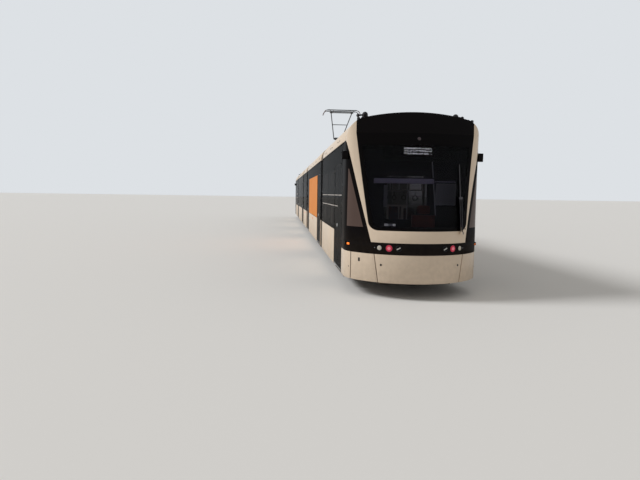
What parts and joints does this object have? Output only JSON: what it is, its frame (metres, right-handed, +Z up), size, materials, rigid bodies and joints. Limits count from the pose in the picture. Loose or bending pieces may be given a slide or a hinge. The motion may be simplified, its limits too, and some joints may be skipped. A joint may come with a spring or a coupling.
{
  "type": "articulated low-floor tram",
  "caption": "Low, two-ended articulated tram with white panels, dark glazing and folding bellows, on flanged wheelsets, with a raised single-arm current collector on its roof.",
  "frame": {"origin": "middle of the tram in plan, at the level of the flange tips, 28 mm below the rail head", "axes": "+X along the tram toward the end seen in the picture, +Y to that end's left, +Z up"},
  "size_m": [32.2, 2.82, 5.5061],
  "materials": {
    "underframe_paint": "satin",
    "white_paint": "gloss",
    "roof_paint": "satin",
    "dark_glass": "gloss",
    "seat_plastic": "satin",
    "bogie_paint": "satin",
    "black_paint": "gloss",
    "bellows_rubber": "matte",
    "lamp_lens": "gloss",
    "wheel_steel": "satin",
    "collector_paint": "satin",
    "collector_alloy": "satin"
  },
  "bodies": {
    "centre": {"centre_bogie": "bogie_paint", "centre_fittings": "seat_plastic", "centre_floor": "underframe_paint", "centre_glass": "dark_glass", "centre_roof": "roof_paint", "centre_walls": "white_paint"},
    "mid_a": {"mid_a_doors": "black_paint", "mid_a_fittings": "seat_plastic", "mid_a_floor": "underframe_paint", "mid_a_glass": "dark_glass", "mid_a_hinge_plates": "underframe_paint", "mid_a_inner_bellows": "bellows_rubber", "mid_a_outer_bellows": "bellows_rubber", "mid_a_roof": "roof_paint", "mid_a_walls": "white_paint", "collector_base": "collector_paint"},
    "mid_b": {"mid_b_doors": "black_paint", "mid_b_fittings": "seat_plastic", "mid_b_floor": "underframe_paint", "mid_b_glass": "dark_glass", "mid_b_hinge_plates": "underframe_paint", "mid_b_inner_bellows": "bellows_rubber", "mid_b_outer_bellows": "bellows_rubber", "mid_b_roof": "roof_paint", "mid_b_walls": "white_paint"},
    "end_a": {"end_a_black_panels": "black_paint", "end_a_bogie": "bogie_paint", "end_a_doors": "black_paint", "end_a_fittings": "seat_plastic", "end_a_floor": "underframe_paint", "end_a_frame": "white_paint", "end_a_glass": "dark_glass", "end_a_lamps": "lamp_lens", "end_a_roof": "roof_paint", "end_a_skirt": "white_paint", "end_a_walls": "white_paint", "end_a_windscreen": "dark_glass", "end_a_wiper": "black_paint"},
    "end_b": {"end_b_black_panels": "black_paint", "end_b_bogie": "bogie_paint", "end_b_doors": "black_paint", "end_b_fittings": "seat_plastic", "end_b_floor": "underframe_paint", "end_b_frame": "white_paint", "end_b_glass": "dark_glass", "end_b_lamps": "lamp_lens", "end_b_roof": "roof_paint", "end_b_skirt": "white_paint", "end_b_walls": "white_paint", "end_b_windscreen": "dark_glass", "end_b_wiper": "black_paint"},
    "wheelset_centre_front": {"wheelset_centre_front": "wheel_steel"},
    "wheelset_centre_rear": {"wheelset_centre_rear": "wheel_steel"},
    "wheelset_end_a_front": {"wheelset_end_a_front": "wheel_steel"},
    "wheelset_end_a_rear": {"wheelset_end_a_rear": "wheel_steel"},
    "wheelset_end_b_front": {"wheelset_end_b_front": "wheel_steel"},
    "wheelset_end_b_rear": {"wheelset_end_b_rear": "wheel_steel"},
    "collector_lower_arm": {"collector_lower_arm": "collector_paint"},
    "collector_upper_arm": {"collector_upper_arm": "collector_paint"},
    "collector_head": {"collector_head": "collector_alloy"}
  },
  "joints": [
    {"name": "centre_to_mid_a", "type": "hinge", "parent": "centre", "child": "mid_a", "pos_m": [1.75, 0, 0.378], "axis": [0, 0, 1], "range_deg": [-15, 15], "deforming": ["mid_a_inner_bellows"]},
    {"name": "mid_to_end_a", "type": "hinge", "parent": "mid_a", "child": "end_a", "pos_m": [9.8, 0, 0.378], "axis": [0, 0, 1], "range_deg": [-15, 15], "deforming": ["mid_a_outer_bellows"]},
    {"name": "centre_to_mid_b", "type": "hinge", "parent": "centre", "child": "mid_b", "pos_m": [-1.75, 0, 0.378], "axis": [0, 0, -1], "range_deg": [-15, 15], "deforming": ["mid_b_inner_bellows"]},
    {"name": "mid_to_end_b", "type": "hinge", "parent": "mid_b", "child": "end_b", "pos_m": [-9.8, 0, 0.378], "axis": [0, 0, -1], "range_deg": [-15, 15], "deforming": ["mid_b_outer_bellows"]},
    {"name": "wheels_end_a_front", "type": "hinge", "parent": "end_a", "child": "wheelset_end_a_front", "pos_m": [12.7, 0, 0.328], "axis": [0, 1, 0], "continuous": true},
    {"name": "wheels_end_a_rear", "type": "hinge", "parent": "end_a", "child": "wheelset_end_a_rear", "pos_m": [10.9, 0, 0.328], "axis": [0, 1, 0], "continuous": true},
    {"name": "wheels_centre_front", "type": "hinge", "parent": "centre", "child": "wheelset_centre_front", "pos_m": [0.9, 0, 0.328], "axis": [0, 1, 0], "continuous": true},
    {"name": "wheels_centre_rear", "type": "hinge", "parent": "centre", "child": "wheelset_centre_rear", "pos_m": [-0.9, 0, 0.328], "axis": [0, 1, 0], "continuous": true},
    {"name": "wheels_end_b_front", "type": "hinge", "parent": "end_b", "child": "wheelset_end_b_front", "pos_m": [-10.9, 0, 0.328], "axis": [0, 1, 0], "continuous": true},
    {"name": "wheels_end_b_rear", "type": "hinge", "parent": "end_b", "child": "wheelset_end_b_rear", "pos_m": [-12.7, 0, 0.328], "axis": [0, 1, 0], "continuous": true},
    {"name": "collector_raise", "type": "hinge", "parent": "mid_a", "child": "collector_lower_arm", "pos_m": [3.75, 0, 3.478], "axis": [0, 1, 0], "range_deg": [-32.7, 13.3]},
    {"name": "collector_elbow", "type": "hinge", "parent": "collector_lower_arm", "child": "collector_upper_arm", "pos_m": [2.54033, 0, 4.44713], "axis": [0, 1, 0], "range_deg": [-26.6, 65.4]},
    {"name": "collector_level", "type": "hinge", "parent": "collector_upper_arm", "child": "collector_head", "pos_m": [3.75, 0, 5.41625], "axis": [0, 1, 0], "range_deg": [-32.7, 13.3]}
  ],
  "couplings": [
    {"joint": "collector_elbow", "follows": "collector_raise", "ratio": -2},
    {"joint": "collector_level", "follows": "collector_raise", "ratio": 1}
  ]
}
